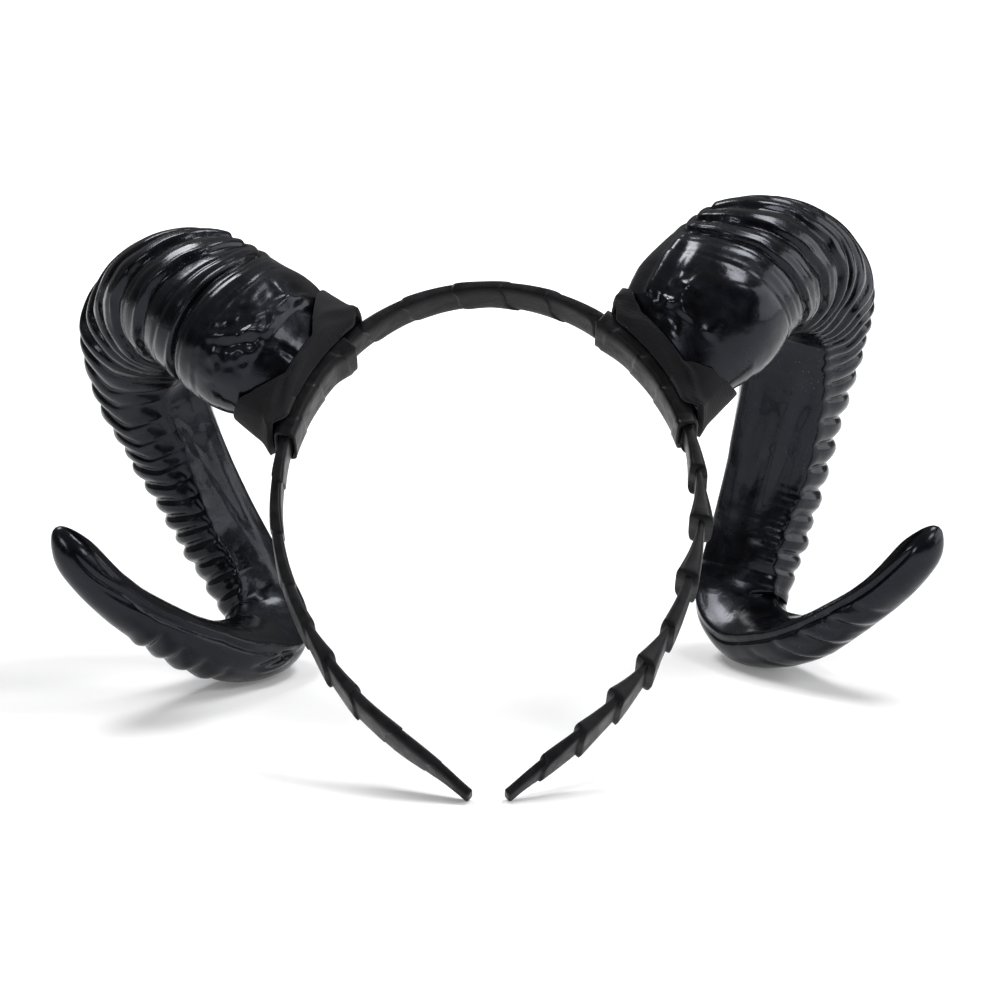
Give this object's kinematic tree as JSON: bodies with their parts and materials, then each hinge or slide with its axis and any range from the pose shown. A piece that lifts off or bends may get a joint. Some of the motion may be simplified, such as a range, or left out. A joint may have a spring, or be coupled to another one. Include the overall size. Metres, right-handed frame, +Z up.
{
  "type": "ram horns headband",
  "caption": "Costume headband with curled, ringed black ram horns, each tied by a cloth cuff and a binding to a ribbon-wrapped hoop.",
  "frame": {"origin": "middle of the bounding box's underside, on the surface that the headband lies on", "axes": "+X to the right as seen from the front, +Y to the back, +Z up; the headband leans back on the bends of its horns"},
  "size_m": [0.2438, 0.1598, 0.1379],
  "materials": {
    "horn_skin": "glossy black latex skin over foam, wrinkled at the root",
    "cuff_cloth": "matte black stretch cloth",
    "ribbon": "black satin ribbon, wound with overlapping laps"
  },
  "bodies": {
    "root": {"band": "ribbon", "binding_left": "ribbon", "binding_right": "ribbon", "cuff_left": "cuff_cloth", "cuff_right": "cuff_cloth", "horn_left": "horn_skin", "horn_right": "horn_skin"}
  },
  "joints": []
}
